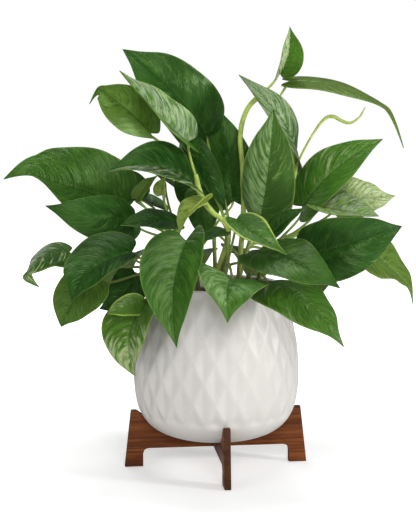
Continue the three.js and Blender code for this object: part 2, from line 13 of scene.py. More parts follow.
import bpy
import numpy as np
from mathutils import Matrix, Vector

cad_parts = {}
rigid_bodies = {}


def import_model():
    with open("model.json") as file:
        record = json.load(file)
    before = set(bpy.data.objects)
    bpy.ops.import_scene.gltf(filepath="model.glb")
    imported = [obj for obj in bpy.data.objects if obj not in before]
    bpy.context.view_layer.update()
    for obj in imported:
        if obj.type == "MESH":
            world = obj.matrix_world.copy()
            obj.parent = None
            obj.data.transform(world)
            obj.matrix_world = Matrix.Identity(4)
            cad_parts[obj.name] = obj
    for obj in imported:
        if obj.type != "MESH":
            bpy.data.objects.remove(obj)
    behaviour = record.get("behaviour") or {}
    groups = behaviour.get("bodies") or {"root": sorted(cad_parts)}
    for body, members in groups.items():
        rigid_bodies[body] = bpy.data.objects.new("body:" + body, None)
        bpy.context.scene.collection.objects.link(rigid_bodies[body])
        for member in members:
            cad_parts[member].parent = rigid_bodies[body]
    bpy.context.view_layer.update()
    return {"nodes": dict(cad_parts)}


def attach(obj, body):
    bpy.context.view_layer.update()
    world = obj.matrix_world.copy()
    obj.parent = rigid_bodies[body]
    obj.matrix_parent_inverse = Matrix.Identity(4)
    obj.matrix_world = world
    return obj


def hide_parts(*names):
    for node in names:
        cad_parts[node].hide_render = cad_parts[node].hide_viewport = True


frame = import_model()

scene = bpy.context.scene
print("CAD nodes:", sorted(frame["nodes"]))

# %% [markdown]
# ## Camera
# The photograph was taken from a little above the pot, at about a metre, with a long lens. A
# perspective camera with the fitted place, tilt and focal length gives the same overlaps between
# the leaves, so it is set first and everything later is judged through it.

# %% Camera
MM = 0.001
CAMERA_PLACE = (-7.5 * MM, -1131.3 * MM, 326.2 * MM)
CAMERA_DIP = 6.83  # degrees below the horizon
FOCAL_PIXELS = 1246.9
LONG_SIDE_PIXELS = 520
SENSOR = 36


def new_object(name, data):
    """An object of the scene that shows this data."""
    obj = bpy.data.objects.new(name, data)
    scene.collection.objects.link(obj)
    return obj


def tune(thing, **settings):
    """Sets properties of a thing by name, and gives it back."""
    for name, value in settings.items():
        setattr(thing, name, value)
    return thing


scene.camera = camera = new_object("camera", bpy.data.cameras.new("camera"))
tune(camera.data, sensor_width=SENSOR, lens=FOCAL_PIXELS / LONG_SIDE_PIXELS * SENSOR)
tune(camera, location=CAMERA_PLACE, rotation_euler=(radians(90 - CAMERA_DIP), 0, 0))
print("lens:", round(camera.data.lens, 2), "mm")

# %% [markdown]
# ## Helpers for modelling
# Most operators act on what is selected, and the frame leaves its nodes selected. So one helper
# selects just what the next step is about, and another ends a piece: it names it, lets it ride on
# the object's body, and lets it stand for its CAD node.

# %% Helpers for modelling
def pick(*objects):
    """Selects these objects only; the first one is active."""
    bpy.ops.object.select_all(action="DESELECT")
    for o in objects:
        o.select_set(True)
    bpy.context.view_layer.objects.active = objects[0]


def edit(obj, selected="DESELECT"):
    """Opens an object in edit mode with nothing selected, or all of it."""
    pick(obj)
    bpy.ops.object.mode_set(mode="EDIT")
    bpy.ops.mesh.select_all(action=selected)


def leave_edit():
    bpy.ops.object.mode_set(mode="OBJECT")


def choose(obj, test):
    """Selects the vertices of an open mesh that pass a test."""
    bpy.ops.mesh.select_all(action="DESELECT")
    bpy.ops.mesh.select_mode(type="VERT")
    leave_edit()
    for vertex in obj.data.vertices:
        vertex.select = bool(test(vertex))
    bpy.ops.object.mode_set(mode="EDIT")


def bake_modifier(obj, kind, **settings):
    """Adds a modifier with these settings and applies it."""
    pick(obj)
    modifier = tune(obj.modifiers.new(kind.title(), kind), **settings)
    bpy.ops.object.modifier_apply(modifier=modifier.name)


def smooth(obj, degrees):
    pick(obj)
    bpy.ops.object.shade_smooth_by_angle(angle=radians(degrees))


def set_layer(obj, name, values):
    """Writes one value per point, as an attribute that materials can read."""
    obj.data.attributes.new(name, "FLOAT", "POINT").data.foreach_set("value", values)


def coat(obj, material):
    obj.data.materials.clear()
    obj.data.materials.append(material)


def end_piece(obj, name, slot, *nodes):
    """Names a finished piece and ties it to the frame."""
    obj.name = obj.data.name = name
    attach(obj, "root")
    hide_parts(*nodes)
    print(name, "has", len(obj.data.polygons), "faces")


# %% [markdown]
# ## Helpers for materials
# Every finish is a node tree. `put` adds one node and `feed` fills an input, with a value or with
# a link; a socket knows its own tree. A group is an effect that several finishes share, and gives
# out only a colour, a mask or a height.

# %% Helpers for materials
def is_socket(value):
    return isinstance(value, bpy.types.NodeSocket)


def feed(socket, value):
    """Links an output to an input socket, or sets the input's own value."""
    if is_socket(value):
        socket.id_data.links.new(value, socket)
    else:
        socket.default_value = value


def put(tree, kind, inputs=None, **settings):
    """Adds a shader node. An input is a value, or the output socket that feeds it."""
    node = tune(tree.nodes.new("ShaderNode" + kind), **settings)
    for name, value in (inputs or {}).items():
        feed(node.inputs[name], value)
    return node


def maths(operation, *values):
    tree = next(v.id_data for v in values if is_socket(v))
    return put(tree, "Math", dict(enumerate(values)), operation=operation).outputs[0]


def times(one, other):
    return maths("MULTIPLY", one, other)


def line(value, slope, start):
    """A straight line: the value times a slope, plus a start."""
    return maths("MULTIPLY_ADD", value, slope, start)


def ramp(value, low, high, to_low=0.0, to_high=1.0):
    """A smooth step of a value: to_low below low, to_high above high."""
    ends = {"Value": value, "From Min": low, "From Max": high, "To Min": to_low, "To Max": to_high}
    return put(value.id_data, "MapRange", ends, interpolation_type="SMOOTHSTEP").outputs["Result"]


def blend(share, first, second):
    """A mix of two colours."""
    node = put(share.id_data, "Mix", {0: share}, data_type="RGBA")
    for index, value in ((6, first), (7, second)):
        feed(node.inputs[index], value if is_socket(value) else (*value, 1))
    return node.outputs[2]


def noise(place, scale, detail, roughness=0.5, distortion=0.0):
    inputs = {"Vector": place, "Scale": scale, "Detail": detail, "Roughness": roughness}
    return put(place.id_data, "TexNoise", {**inputs, "Distortion": distortion}).outputs["Fac"]


def split(vector):
    return put(vector.id_data, "SeparateXYZ", {"Vector": vector}).outputs


def painted(tree, name):
    """What set_layer wrote to the mesh."""
    return put(tree, "Attribute", attribute_name=name).outputs["Fac"]


def new_group(name, inputs, outputs):
    """An empty node group with named sockets, and its two ends."""
    group = bpy.data.node_groups.new(name, "ShaderNodeTree")
    for in_out, sockets in (("INPUT", inputs), ("OUTPUT", outputs)):
        for socket, kind in sockets.items():
            group.interface.new_socket(socket, in_out=in_out, socket_type="NodeSocket" + kind)
    return group, group.nodes.new("NodeGroupInput").outputs, group.nodes.new("NodeGroupOutput").inputs


def use_group(group, **inputs):
    """The outputs of a group that is read at a place on the object."""
    return put(inputs["Place"].id_data, "Group", inputs, node_tree=group).outputs


def new_finish(name, **values):
    """A material with its tree, its shader's inputs, and the place on the object as a socket."""
    material = bpy.data.materials.new(name)
    material.use_nodes = True
    tree = material.node_tree
    shader = tree.nodes["Principled BSDF"].inputs
    for socket, value in values.items():
        shader[socket.replace("_", " ")].default_value = value
    return material, tree, shader, put(tree, "TexCoord").outputs["Object"]


def bump(shader, height, strength, distance):
    node = put(height.id_data, "Bump", {"Strength": strength, "Distance": distance, "Height": height})
    feed(shader["Normal"], node.outputs["Normal"])


print("helpers ready")

# %% [markdown]
# ## Shared effect: soft mottle
# No surface here is of one even colour: glaze pools, wood is uneven, soil dries in patches and
# leaves are blotched. One group serves all of them: two sizes of noise, read at a place on the
# object, make a colour a little darker or lighter.

# %% The mottle group
mottle, m_in, m_out = new_group(
    "soft mottle", {"Color": "Color", "Place": "Vector", "Scale": "Float", "Amount": "Float"},
    {"Color": "Color"},
)
coarse = noise(m_in["Place"], m_in["Scale"], 3.0)
fine = noise(m_in["Place"], times(m_in["Scale"], 6.0), 2.0)
off_centre = maths("SUBTRACT", line(fine, 0.4, coarse), 0.7)
swing = times(off_centre, m_in["Amount"])
scaled = put(mottle, "VectorMath", {0: m_in["Color"], "Scale": line(swing, 4.0, 1.0)}, operation="SCALE")
feed(m_out["Color"], scaled.outputs["Vector"])


def mottled(colour, place, scale, amount):
    return use_group(mottle, Color=colour, Place=place, Scale=scale, Amount=amount)["Color"]


print("group:", mottle.name)

# %% [markdown]
# ## The pot's outline
# The pot is thrown or cast: a round bowl that draws in to a narrower rim. Its side is two Bezier
# curves of radius against height, the same as in the CAD source.

# %% The pot's outline
POT_BOWL = np.array([[24, 27], [50, 32], [76.5, 34], [76, 86]]) * MM
POT_SHOULDER = np.array([[76, 86], [76, 112], [72.5, 138], [59, 170]]) * MM
POT_HEIGHT = 170 * MM
POT_WALL = 5 * MM
POT_TURN = -1.3  # degrees
POT_COLUMNS = 48
RELIEF_START = 0.68  # the share of the bowl's curve where the relief begins
FIRST_ROW = 54 * MM
ROW_STEP = 18.2 * MM
ROWS = 7
RELIEF_DEPTH = 2.4 * MM
RIM_ROUND = 1.6 * MM
HOLLOW_FLOOR = 34 * MM
HOLLOW_SIDE = 50 * MM  # the height where the inside leaves its rounded corner
CORNER_WIDTH, CORNER_HEIGHT = 12 * MM, 8 * MM
FLOOR_INSET = 20 * MM


def bezier(points, at):
    """Points of a cubic Bezier curve at the shares `at` of its way."""
    t = np.asarray(at, float)[:, None]
    a, b, c, d = np.asarray(points, float)
    return a * (1 - t) ** 3 + 3 * b * t * (1 - t) ** 2 + 3 * c * t * t * (1 - t) + d * t**3


steps = np.linspace(0, 1, 200)
side = np.vstack([bezier(POT_BOWL, steps), bezier(POT_SHOULDER, steps)[1:]])


def pot_radius(height):
    return float(np.interp(height, side[:, 1], side[:, 0]))


print("widest radius:", round(side[:, 0].max() / MM, 1), "mm")

# %% [markdown]
# ## Turning the pot
# A ring of points is extruded from height to height, and each new ring is scaled to its radius,
# as clay is drawn up on a wheel. Six columns of faces fall into each half diamond, so that the
# facets cut later are clean. The ring goes over the rim and down the inside to the floor.

# %% Turning the pot
SUB_ROWS = 6


def turned(rings, points):
    """A solid of revolution from (radius, height) rings, bottom centre first, both ends closed."""
    (radius, height), *others = rings
    bpy.ops.mesh.primitive_circle_add(
        vertices=points, radius=radius, fill_type="TRIFAN", location=(0, 0, height),
        rotation=(0, 0, radians(POT_TURN)),
    )
    obj = bpy.context.object
    pick(obj)
    bpy.ops.object.transform_apply()
    edit(obj)
    choose(obj, lambda v: v.co.xy.length > radius / 2)
    for next_radius, next_height in others:
        bpy.ops.mesh.extrude_edges_move(TRANSFORM_OT_translate={"value": (0, 0, next_height - height)})
        k = next_radius / radius
        bpy.ops.transform.resize(value=(k, k, 1), center_override=(0, 0, 0))
        radius, height = next_radius, next_height
    bpy.ops.mesh.extrude_edges_move(TRANSFORM_OT_translate={"value": (0, 0, 0)})
    bpy.ops.mesh.merge(type="CENTER")
    bpy.ops.mesh.select_all(action="SELECT")
    bpy.ops.mesh.normals_make_consistent()
    leave_edit()
    return obj


last_row = FIRST_ROW + (ROWS - 1) * ROW_STEP
relief_foot = bezier(POT_BOWL, [RELIEF_START])[0][1]
rim_start = POT_HEIGHT - RIM_ROUND
heights = [*np.linspace(relief_foot, FIRST_ROW, 5)[:-1]]
heights += [FIRST_ROW + i * ROW_STEP / SUB_ROWS for i in range((ROWS - 1) * SUB_ROWS)]
heights += [*np.linspace(last_row, rim_start, 4)]
outside = [tuple(p) for p in bezier(POT_BOWL, np.linspace(0, RELIEF_START, 18)[:-1])]
outside += [(pot_radius(h), h) for h in heights]
outer = pot_radius(rim_start) - RIM_ROUND
inner = outer - POT_WALL + 2 * RIM_ROUND
turns = [radians(a) for a in (20, 40, 60, 80, 90)]
rim = [(outer + RIM_ROUND * cos(a), rim_start + RIM_ROUND * sin(a)) for a in turns]
rim += [(inner - RIM_ROUND * cos(a), rim_start + RIM_ROUND * sin(a)) for a in turns[::-1]]
inside = [(pot_radius(h) - POT_WALL, h) for h in np.linspace(rim_start, HOLLOW_SIDE, 24)]
floor_radius = inside[-1][0] - FLOOR_INSET
inside += [
    (floor_radius + CORNER_WIDTH * cos(a), HOLLOW_FLOOR + CORNER_HEIGHT * (1 - sin(a)))
    for a in (0.3, 0.7, 1.1, 1.5)
]
pot = turned(outside + rim + inside, POT_COLUMNS * SUB_ROWS)
print("pot rings:", len(outside + rim + inside))

# %% [markdown]
# ## Cutting the diamonds
# The relief is a net of ridges that cross at a slant; between them each diamond sinks in four
# flat facets to its middle. The depth is painted as a vertex weight, a pyramid whose edges are
# rounded a little, as glaze rounds them, and a Displace modifier pushes the wall in by it. So the
# facets are real shape, not a bump map, and catch the light from any side.

# %% Cutting the diamonds
RIDGE_ROUND = 0.02
VALLEY_ROUND = 0.03


def wrapped(x):
    """Distance from the nearest even number."""
    return abs((x + 1) % 2 - 1)


def diamond_depth(x, y, z):
    """How deep the relief is at a point of the wall, 0 on a ridge and about 1 in a middle."""
    if z < relief_foot or z > rim_start:
        return 0.0
    column = (degrees(atan2(y, x)) + 90 - POT_TURN) * POT_COLUMNS / 360
    row = min(max((z - FIRST_ROW) / ROW_STEP, 0), ROWS - 1)
    from_foot, from_rim = z - relief_foot, rim_start - z
    fade = min(from_foot / (FIRST_ROW - relief_foot), from_rim / (rim_start - last_row), 1)
    one, other = wrapped(column + row), wrapped(column - row)
    edge = 1 - (one + other + hypot(one - other, VALLEY_ROUND)) / 2
    return max(fade * (hypot(max(edge, 0), RIDGE_ROUND) - RIDGE_ROUND), 0)


group = pot.vertex_groups.new(name="relief")
sunk = []
for v in pot.data.vertices:
    is_outer = v.co.xy.length > pot_radius(v.co.z) - POT_WALL / 2
    depth = diamond_depth(*v.co) if is_outer else 0
    sunk.append(depth if is_outer and FIRST_ROW < v.co.z < last_row else 1.0)
    if depth > 0:
        group.add([v.index], depth, "REPLACE")
set_layer(pot, "sunk", sunk)
deepest = RELIEF_DEPTH / (1 - RIDGE_ROUND)
bake_modifier(pot, "DISPLACE", mid_level=0, strength=-deepest, vertex_group="relief")
smooth(pot, 60)
print("relief depth:", RELIEF_DEPTH / MM, "mm")

# %% [markdown]
# ## The glaze
# The pot has a satin white glaze with soft highlights, so a Principled shader with a little coat
# does. Along the ridges of the relief the glaze is painted darker: partly glaze that runs thin
# there, partly painted shade that marks the diamond edges. It has a faint orange peel. The foot,
# which stands on the boards, is bare fired clay.

# %% The glaze
GLAZE_FOOT = 28.2 * MM  # bare clay below this height
glaze, tree, shader, place = new_finish("white_glaze", Coat_Weight=0.10, Coat_Roughness=0.30)
# Partly painted shade: the glaze is darker on the ridges of the relief, where it also runs thin.
thin_glaze_and_shade = ramp(painted(tree, "sunk"), 0.0, 0.12, 0.14, 0.0)
body = blend(thin_glaze_and_shade, (0.620, 0.597, 0.565), (0.430, 0.400, 0.360))
bare = ramp(split(place)["Z"], GLAZE_FOOT - 1 * MM, GLAZE_FOOT, 1.0, 0.0)
feed(shader["Base Color"], blend(bare, mottled(body, place, 14.0, 0.05), (0.62, 0.50, 0.40)))
feed(shader["Roughness"], ramp(bare, 0.0, 1.0, 0.46, 0.8))
bump(shader, noise(place, 420.0, 1.0), 0.12, 0.2 * MM)
coat(pot, glaze)
end_piece(pot, "glazed_pot", "glaze", "pot")

# %% [markdown]
# ## The walnut boards
# Each board is sawn from a 6 mm plank to the CAD outline, so the piece starts as a merged copy of
# its CAD node. What sawing leaves sharp is sanded by hand on the real one: the coplanar triangles
# are dissolved, and all sharp edges get a small round bevel.

# %% The walnut boards
SAME_PLACE = 0.01 * MM  # points nearer than this are one
EDGE_ROUND = 0.8 * MM


def sanded_board(node):
    obj = new_object("board", frame["nodes"][node].data.copy())
    edit(obj, "SELECT")
    bpy.ops.mesh.remove_doubles(threshold=SAME_PLACE)
    bpy.ops.mesh.dissolve_limited(angle_limit=radians(1))
    bpy.ops.mesh.select_all(action="DESELECT")
    bpy.ops.mesh.select_mode(type="EDGE")
    bpy.ops.mesh.edges_select_sharp(sharpness=radians(35))
    bpy.ops.mesh.bevel(offset=EDGE_ROUND, segments=3, clamp_overlap=True)
    leave_edit()
    smooth(obj, 35)
    return obj


boards = {run: sanded_board("stand_board_" + run) for run in ("long", "cross")}
print("boards:", len(boards))

# %% [markdown]
# ## Walnut
# Oiled walnut is a warm brown with long dark pores and slow bands of growth that run along the
# board. The grain is noise stretched along the board's own length, so each board has a Mapping
# node that turns the pattern with it. The end grain, which drinks more oil, is darker, and faces
# that look up, such as the seat under the pot, are painted darker as painted shade.

# %% The grain group
grain, g_in, g_out = new_group(
    "walnut grain", {"Place": "Vector"}, {"Color": "Color", "Height": "Float", "Roughness": "Float"}
)


def stretched(along, across, detail, distortion=0.0):
    """Noise drawn out along x: frequencies per metre along and across the grain."""
    scaled = put(grain, "Mapping", {"Vector": g_in["Place"], "Scale": (along, across, across)}).outputs[0]
    return noise(scaled, 1.0, detail, distortion=distortion)


growth = stretched(9.0, 120.0, 4.0, 0.6)
pores = stretched(45.0, 1500.0, 2.0)
lines = stretched(16.0, 520.0, 3.0, 0.3)
banded = blend(ramp(growth, 0.35, 0.66), (0.095, 0.026, 0.007), (0.205, 0.062, 0.015))
lined = blend(ramp(lines, 0.52, 0.68, 0.0, 0.75), banded, (0.060, 0.020, 0.010))
feed(g_out["Color"], blend(ramp(pores, 0.60, 0.72, 0.0, 0.6), lined, (0.035, 0.012, 0.007)))
feed(g_out["Height"], line(pores, -0.7, growth))
feed(g_out["Roughness"], ramp(lines, 0.3, 0.7, 0.38, 0.55))
print("group:", grain.name)

# %% Walnut
STAND_TURN = 6.65  # degrees


def walnut(name, turn):
    """Walnut whose grain runs along a board that is turned this far about the vertical."""
    material, tree, shader, place = new_finish(name, Specular_IOR_Level=0.12)

    def turned_back(vector):
        return put(tree, "Mapping", {"Vector": vector, "Rotation": (0, 0, radians(-turn))}).outputs[0]

    own = turned_back(place)
    oiled = use_group(grain, Place=own)
    patchy = mottled(oiled["Color"], own, 25.0, 0.12)
    facing = turned_back(put(tree, "NewGeometry").outputs["True Normal"])
    lengthways, _, upward = split(facing)
    end_grain = ramp(maths("ABSOLUTE", lengthways), 0.5, 0.8, 0.0, 0.75)
    # Painted shade: faces that look up are darker, as under the pot; end grain is darker as it drinks more
    # oil.
    end_grain_and_top_shade = maths("MAXIMUM", ramp(upward, 0.2, 0.8, 0.0, 0.6), end_grain)
    feed(shader["Base Color"], blend(end_grain_and_top_shade, patchy, (0.035, 0.015, 0.008)))
    feed(shader["Roughness"], oiled["Roughness"])
    bump(shader, oiled["Height"], 0.25, 0.3 * MM)
    return material


for run, turn in (("long", STAND_TURN), ("cross", STAND_TURN + 90)):
    name = "walnut_board_" + run
    coat(boards[run], walnut(name, turn))
    end_piece(boards[run], name, "walnut", "stand_board_" + run)

# %% [markdown]
# ## The soil
# Potting soil fills the pot to a finger below the rim. Its top is bumpy and crumbly, with bits of
# bark and a few white grains of perlite. The body is turned like the pot, inside its hollow, and
# its top is roughened by a Displace modifier with a clouds texture.

# %% The body of the soil
SOIL_TOP = 157 * MM
SLACK = 0.3 * MM
SOIL_RINGS = 30


def hollow_radius(height):
    return pot_radius(height) - POT_WALL - SLACK


sides = [(floor_radius - SLACK, HOLLOW_FLOOR + SLACK), (hollow_radius(HOLLOW_SIDE), HOLLOW_SIDE + SLACK)]
sides += [(hollow_radius(h), h) for h in np.linspace(60, 155, 12) * MM]
top_radius = hollow_radius(SOIL_TOP)
tops = [(top_radius * (1 - i / SOIL_RINGS), SOIL_TOP) for i in range(SOIL_RINGS - 1)]
soil = turned(sides + tops, 120)
group = soil.vertex_groups.new(name="top")
for v in soil.data.vertices:
    if v.co.z > SOIL_TOP - SAME_PLACE:
        group.add([v.index], min(1.0, (top_radius - v.co.xy.length) / (4 * MM) + 0.1), "REPLACE")
clods = tune(bpy.data.textures.new("clods", "CLOUDS"), noise_scale=9 * MM, noise_depth=4)
bake_modifier(soil, "DISPLACE", texture=clods, direction="Z", strength=5.5 * MM, vertex_group="top")
bake_modifier(soil, "SMOOTH", factor=0.3, iterations=1)
smooth(soil, 60)
print("soil body:", len(soil.data.polygons), "faces")

# %% [markdown]
# Crumbs lie on top. One crumb is modelled from a small ball, pressed and roughened, and copied at
# random places with random turns and sizes. The seed makes it the same soil each time.

# %% Crumbs and perlite
SOIL_SEED = 7
CRUMBS = 300
PERLITE_SHARE = 0.07


def one_crumb(squeeze):
    bpy.ops.mesh.primitive_ico_sphere_add(subdivisions=2, radius=1)
    obj = bpy.context.object
    edit(obj)
    choose(obj, lambda v: v.co.z > 0.4)
    bpy.ops.transform.resize(value=(0.7, 1.1, 0.5), center_override=(0, 0, 0.3))
    choose(obj, lambda v: v.co.x > 0.5)
    bpy.ops.transform.resize(value=squeeze, center_override=(0.4, 0, 0))
    leave_edit()
    return obj


crumb_shapes = [one_crumb((0.4, 0.8, 0.9)), one_crumb((1.9, 0.6, 0.5))]
dice = random.Random(SOIL_SEED)
crumbs = []
for i in range(CRUMBS):
    copy = new_object("crumb", crumb_shapes[i % 3 == 0].data.copy())
    far, turn = (top_radius - 3 * MM) * sqrt(dice.random()), dice.random() * 2 * pi
    size = dice.uniform(0.7, 2.1) * MM
    copy.location = (far * cos(turn), far * sin(turn), SOIL_TOP + dice.uniform(-0.4, 1.0) * MM)
    copy.rotation_euler = [dice.uniform(0, 6) for _ in range(3)]
    copy.scale = (size, size * dice.uniform(0.6, 1.2), size * dice.uniform(0.5, 0.9))
    white = 1.0 if dice.random() < PERLITE_SHARE else 0.0
    set_layer(copy, "perlite", [white] * len(copy.data.vertices))
    crumbs.append(copy)
for shape in crumb_shapes:
    bpy.data.objects.remove(shape)
pick(*crumbs)
bpy.ops.object.transform_apply()
pick(soil, *crumbs)
bpy.ops.object.join()
print("crumbs:", len(crumbs))

# %% Soil colour
earth, tree, shader, place = new_finish("dark_soil", Roughness=0.95)
damp = mottled((0.045, 0.028, 0.018, 1), place, 70.0, 0.5)
feed(shader["Base Color"], blend(painted(tree, "perlite"), damp, (0.62, 0.60, 0.56)))
bump(shader, noise(place, 900.0, 3.0), 0.6, 0.8 * MM)
coat(soil, earth)
end_piece(soil, "potting_soil", "soil", "soil")

# %% [markdown]
# ## A leaf as a form
# A pothos leaf is a broad heart with a drawn-out tip. The midrib arches, the two halves are folded
# up a little from it and curl back at the margin, and the side veins lie in shallow furrows, so
# that the blade looks quilted. All leaves share one outline: for rows from the notch at the
# joint to the tip, the half width, how far along the edge lies, and how far along the midrib.

# %% The outline of a leaf
OUTLINE = np.array([
    [0, 0, 0], [0.42, -0.07, 0.03], [0.84, 0.02, 0.12], [1, 0.25, 0.27],
    [0.88, 0.47, 0.46], [0.56, 0.72, 0.71], [0.17, 0.9, 0.9], [0, 1, 1],
])
reach = np.concatenate([[0], np.cumsum(np.hypot(0.3 * np.diff(OUTLINE[:, 0]), np.diff(OUTLINE[:, 1])))])
reach /= reach[-1]


def hermite(t, start, end, leaving, arriving):
    """A cubic from start to end that leaves and arrives with these slopes."""
    return (
        start * (2 * t**3 - 3 * t**2 + 1) + end * (3 * t**2 - 2 * t**3)
        + leaving * (t**3 - 2 * t**2 + t) + arriving * (t**3 - t**2)
    )


def through(knots, values, at):
    """A smooth curve through values at uneven knots."""
    slope = np.gradient(values, knots)
    i = np.clip(np.searchsorted(knots, at, "right") - 1, 0, len(knots) - 2)
    span = knots[i + 1] - knots[i]
    return hermite((at - knots[i]) / span, values[i], values[i + 1], slope[i] * span, slope[i + 1] * span)


print("outline rows at", np.round(reach, 2))

# %% [markdown]
# ## One flat blade
# The blade is drawn flat first, as a pattern cutter would: a fine grid with the share across the
# leaf as its x and the share along the outline as its y, given its thickness by Solidify. Those
# shares are also its UV map, so that veins and streaks can follow the leaf. Every leaf is then a
# copy of this sheet, bent into its own place.

# %% One flat blade
ACROSS, ALONG = 24, 60
BLADE_THICKNESS = 0.8 * MM
bpy.ops.mesh.primitive_grid_add(x_subdivisions=ACROSS, y_subdivisions=ALONG, size=2)
blade = bpy.context.object
uv = tune(blade.data.uv_layers.active, name="blade")
for loop in blade.data.loops:
    x, y, _ = blade.data.vertices[loop.vertex_index].co
    uv.data[loop.index].uv = ((x + 1) / 2, (y + 1) / 2)
bake_modifier(blade, "SOLIDIFY", thickness=BLADE_THICKNESS, offset=0, use_rim=True)
flat = np.array([v.co for v in blade.data.vertices])
print("blade grid:", len(flat), "points")

# %% [markdown]
# ## Bending a blade into place
# A leaf is placed by its two ends, the joint at the petiole and the tip, and by the way that its
# upper side looks. The midrib is an arc between the ends, with `arch` out of the face and `sweep`
# to the side; `fold` lifts the halves, `full` makes its middle broader or slimmer, `twist` turns
# the blade about its midrib on the way to the tip, and `hook` bends a long tip aside.

# %% Bending a blade into place
VEINS = 9
VEIN_LEAN = 0.26  # how far along the leaf a side vein runs on its way to the margin
VEIN_CURVE = 1.4
HOOK_START = 0.85  # where a drawn-out tip starts to bend
TWIST_START = 0.35  # where a twist leaves the leaf as it is
DOME = 0.1
QUILTING = 0.018  # how far a blade rises between its veins, of its width
GROOVE, GROOVE_WIDTH = 0.016, 0.08  # how deep the midrib lies, of the blade's width, and how wide
WAVES = 0.02


def unit(a):
    a = np.asarray(a, float)
    return a / np.linalg.norm(a, axis=-1, keepdims=True)


def bell(x, width):
    """A bell curve, 1 high in its middle."""
    return np.exp(-((x / width) ** 2))


class LeafForm:
    """Maps places on a flat leaf to space."""

    def __init__(self, joint, tip, face, width, arch, fold, sweep=0, twist=0, hook=(0, 0, 0), full=0):
        self.joint = np.array(joint, float) * MM
        way = np.array(tip, float) * MM - self.joint
        self.length = np.linalg.norm(way)
        self.ahead = way / self.length
        look = np.array(face, float)
        self.up = unit(look - look @ self.ahead * self.ahead)
        self.bulge = arch * self.up + sweep * np.cross(self.ahead, self.up)
        self.half, self.full = width * MM / 2, full
        self.fold, self.twist = radians(fold), radians(twist)
        self.hook = np.array(hook, float) * MM

    def midrib(self, along):
        t = np.asarray(along, float)[..., None]
        last = np.clip((t - HOOK_START) / (1 - HOOK_START), 0, 1)
        arc = 4 * t * (1 - t) * self.length * self.bulge
        return self.joint + self.ahead * t * self.length + arc + last**2 * self.hook

    def axes(self, along):
        """Unit vectors at a place along the leaf: up out of its face, and to its side."""
        t = np.asarray(along, float)[..., None]
        last = np.clip((t - HOOK_START) / (1 - HOOK_START), 0, 1)
        ahead = self.ahead + 4 * (1 - 2 * t) * self.bulge
        ahead = unit(ahead + last * self.hook * 2 / (1 - HOOK_START) / self.length)
        up = unit(self.up - (ahead @ self.up)[..., None] * ahead)
        turn = self.twist * (t - TWIST_START)
        up = up * np.cos(turn) + np.cross(ahead, up) * np.sin(turn)
        return up, np.cross(ahead, up)

    def point(self, across, along, height):
        up, side = self.axes(along)
        share = np.abs(across)
        out = share * self.half
        rise = out * sin(self.fold) - DOME * out * share + height
        aside = np.sign(across) * out * cos(self.fold)
        return self.midrib(along) + side * aside[..., None] + up * rise[..., None]


def vein_wave(across, along):
    """0 on a side vein, 1 halfway between two."""
    place = (along - VEIN_LEAN * np.abs(across) ** VEIN_CURVE) * VEINS
    return np.abs((place + 0.5) % 1 - 0.5) * 2


def leaf_points(form, quilting, dice):
    """The points of the flat blade, bent to a leaf."""
    across, row = flat[:, 0], (flat[:, 1] + 1) / 2
    half, edge, middle = (through(reach, OUTLINE[:, k], row) for k in range(3))
    half = np.maximum(half, 0) * (1 + form.full * middle**2)
    share = np.abs(across)
    along = middle + (edge - middle) * share
    inside = np.clip(share * 5, 0, 1) * np.clip((1.02 - share) * 4, 0, 1)
    quilt = (vein_wave(across, middle) - 0.5) * quilting * inside
    phase = np.where(across < 0, dice.uniform(0, 6), dice.uniform(0, 6))
    waves = WAVES * share**3 * np.sin(middle * dice.uniform(10, 15) + phase)
    relief = quilt - GROOVE * bell(across, GROOVE_WIDTH) + waves
    relief *= form.half * 2 * np.clip(half * 2, 0, 1)
    return form.point(across * half, along, relief + flat[:, 2])


print("side veins:", VEINS)

# %% [markdown]
# ## Stalks
# Stems and petioles are round and taper. Each is a curve with a bevel, whose points carry a
# radius, converted to a mesh. The stem goes through its points in a Catmull-Rom curve; a petiole
# rises with the stem and comes to its leaf from below, or is led by points of its own.

# %% Curves for stalks
CURVE_POINTS = 40


def catmull(points):
    """Dense points on the centripetal Catmull-Rom curve through points."""
    p = [np.array(q, float) for q in points]
    p = [2 * p[0] - p[1], *p, 2 * p[-1] - p[-2]]
    t = np.linspace(0, 1, CURVE_POINTS, endpoint=False)[:, None]
    parts = []
    for a, b, c, d in zip(p, p[1:], p[2:], p[3:]):
        da, db, dc = (max(np.linalg.norm(y - x), 1e-9) ** 0.5 for x, y in ((a, b), (b, c), (c, d)))
        leaving = ((b - a) / da - (c - a) / (da + db) + (c - b) / db) * db
        arriving = ((c - b) / db - (d - b) / (db + dc) + (d - c) / dc) * db
        parts.append(hermite(t, b, c, leaving, arriving))
    return np.vstack([*parts, p[-2]])


def spaced(path, shares):
    """Points at shares of a path's length."""
    gone = np.concatenate([[0], np.cumsum(np.linalg.norm(np.diff(path, axis=0), axis=1))])
    return np.stack([np.interp(np.asarray(shares) * gone[-1], gone, path[:, k]) for k in range(3)], axis=-1)


def stalk(points, radii):
    """A round stalk through points, closed at both ends."""
    curve = bpy.data.curves.new("stalk", "CURVE")
    tune(curve, dimensions="3D", bevel_depth=1.0, bevel_resolution=3, use_fill_caps=True)
    spline = curve.splines.new("POLY")
    spline.points.add(len(points) - 1)
    for point, place, radius in zip(spline.points, points, radii):
        tune(point, co=(*place, 1), radius=radius)
    pick(new_object("stalk", curve))
    bpy.ops.object.convert(target="MESH")
    return bpy.context.object


print("stalk helpers ready")

